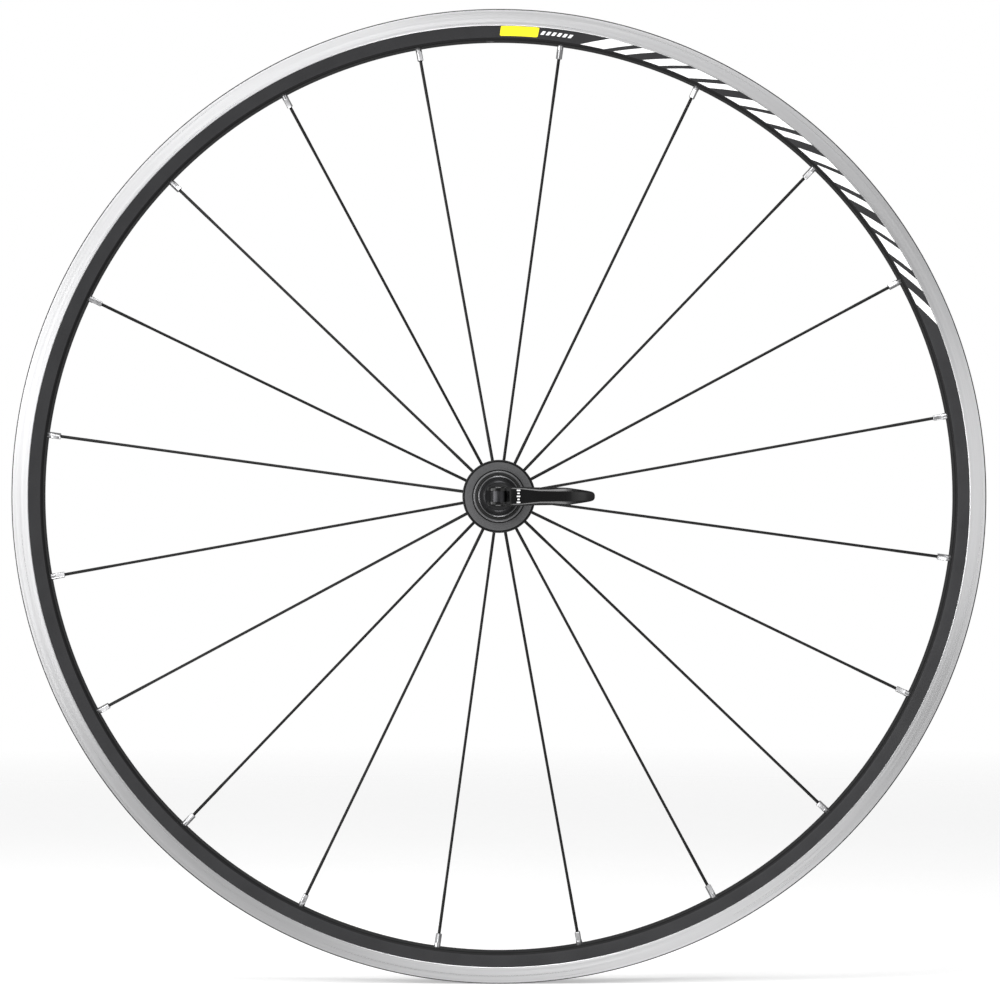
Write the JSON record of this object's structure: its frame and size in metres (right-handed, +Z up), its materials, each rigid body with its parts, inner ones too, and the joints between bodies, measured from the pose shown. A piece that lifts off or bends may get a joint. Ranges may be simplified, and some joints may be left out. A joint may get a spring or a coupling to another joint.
{
  "type": "bicycle front wheel",
  "caption": "Bare front wheel for a rim-brake road bicycle: alloy rim, radial straight-pull spokes, sealed-bearing hub and a quick-release skewer with cam lever.",
  "frame": {"origin": "the wheel's centre, on the axle's line and midway between the two dropout faces", "axes": "+Y along the axle, from the skewer's lever towards its nut; +Z up, with the valve hole at the top; +X is the way the closed lever points"},
  "size_m": [0.6339, 0.1476, 0.634],
  "materials": {
    "rim_alloy": "machined brake tracks over black anodised walls",
    "rim_tape": "matt",
    "sleeve_alloy": "extruded",
    "graphic_white": "printed film",
    "label_yellow": "printed film",
    "spoke_steel": "black oxide",
    "nipple_brass": "nickel plated",
    "hub_alloy": "satin black anodised",
    "black_plastic": "moulded",
    "black_rubber": "matt",
    "axle_alloy": "turned",
    "cap_alloy": "black anodised",
    "bearing_steel": "ground",
    "cage_brass": "pressed",
    "skewer_steel": "plated",
    "black_steel": "black oxide",
    "lever_alloy": "gloss black",
    "lock_nylon": "moulded"
  },
  "bodies": {
    "axle": {"hub_axle": "axle_alloy", "end_cap_left": "cap_alloy", "end_cap_right": "cap_alloy", "bearing_left_inner_race": "bearing_steel", "bearing_right_inner_race": "bearing_steel"},
    "wheel": {"rim": "rim_alloy", "rim_tape": "rim_tape", "rim_joint_sleeve": "sleeve_alloy", "rim_graphic_left": "graphic_white", "rim_graphic_right": "graphic_white", "rim_label_left": "label_yellow", "rim_label_right": "label_yellow", "spoke_01": "spoke_steel", "spoke_02": "spoke_steel", "spoke_03": "spoke_steel", "spoke_04": "spoke_steel", "spoke_05": "spoke_steel", "spoke_06": "spoke_steel", "spoke_07": "spoke_steel", "spoke_08": "spoke_steel", "spoke_09": "spoke_steel", "spoke_10": "spoke_steel", "spoke_11": "spoke_steel", "spoke_12": "spoke_steel", "spoke_13": "spoke_steel", "spoke_14": "spoke_steel", "spoke_15": "spoke_steel", "spoke_16": "spoke_steel", "spoke_17": "spoke_steel", "spoke_18": "spoke_steel", "spoke_19": "spoke_steel", "spoke_20": "spoke_steel", "nipples_left": "nipple_brass", "nipples_right": "nipple_brass", "hub_barrel": "hub_alloy", "hub_flange_left": "hub_alloy", "hub_flange_right": "hub_alloy", "spoke_retainer_left": "black_plastic", "spoke_retainer_right": "black_plastic", "hub_seal_left": "black_rubber", "hub_seal_right": "black_rubber", "bearing_left_outer_race": "bearing_steel", "bearing_right_outer_race": "bearing_steel", "bearing_left_seals": "black_rubber", "bearing_right_seals": "black_rubber"},
    "ball_set_left": {"bearing_left_balls": "bearing_steel", "bearing_left_cage": "cage_brass"},
    "ball_set_right": {"bearing_right_balls": "bearing_steel", "bearing_right_cage": "cage_brass"},
    "spring_left": {"skewer_spring_left": "skewer_steel"},
    "skewer": {"skewer_rod": "skewer_steel", "cam_barrel": "black_steel"},
    "lever": {"cam_lever": "lever_alloy"},
    "cup": {"cam_saddle": "black_plastic", "clamp_cup": "black_steel"},
    "spring_right": {"skewer_spring_right": "skewer_steel"},
    "nut": {"skewer_nut": "lever_alloy", "nut_grip_washer": "skewer_steel", "nut_lock_ring": "lock_nylon"}
  },
  "joints": [
    {"name": "wheel_spin", "type": "hinge", "parent": "axle", "child": "wheel", "pos_m": [0, 0, 0], "axis": [0, 1, 0], "continuous": true},
    {"name": "ball_spin_left", "type": "hinge", "parent": "axle", "child": "ball_set_left", "pos_m": [0, -0.0375, 0], "axis": [0, 1, 0], "continuous": true},
    {"name": "ball_spin_right", "type": "hinge", "parent": "axle", "child": "ball_set_right", "pos_m": [0, 0.0375, 0], "axis": [0, 1, 0], "continuous": true},
    {"name": "skewer_draw", "type": "slide", "parent": "axle", "child": "spring_left", "axis": [0, -1, 0], "range_m": [0, 0.13], "deforming": ["skewer_spring_left"]},
    {"name": "skewer_turn", "type": "hinge", "parent": "spring_left", "child": "skewer", "pos_m": [0, -0.0715, 0], "axis": [0, 1, 0], "continuous": true},
    {"name": "lever_cam", "type": "hinge", "parent": "skewer", "child": "lever", "pos_m": [0, -0.0715, 0], "axis": [0, 0, -1], "range_deg": [0, 180]},
    {"name": "cup_slide", "type": "slide", "parent": "skewer", "child": "cup", "axis": [0, -1, 0], "range_m": [0, 0.00225]},
    {"name": "nut_travel", "type": "slide", "parent": "axle", "child": "spring_right", "axis": [0, 1, 0], "range_m": [0, 0.008], "deforming": ["skewer_spring_right"]},
    {"name": "nut_turn", "type": "hinge", "parent": "spring_right", "child": "nut", "pos_m": [0, 0.063, 0], "axis": [0, 1, 0], "range_deg": [0, 3600]}
  ],
  "couplings": [
    {"joint": "ball_spin_left", "follows": "wheel_spin", "ratio": 0.63222},
    {"joint": "ball_spin_right", "follows": "wheel_spin", "ratio": 0.63222},
    {"joint": "cup_slide", "follows": "lever_cam", "m_per_rad": 0.0007162},
    {"joint": "nut_travel", "follows": "nut_turn", "m_per_rad": 0.00012732}
  ]
}
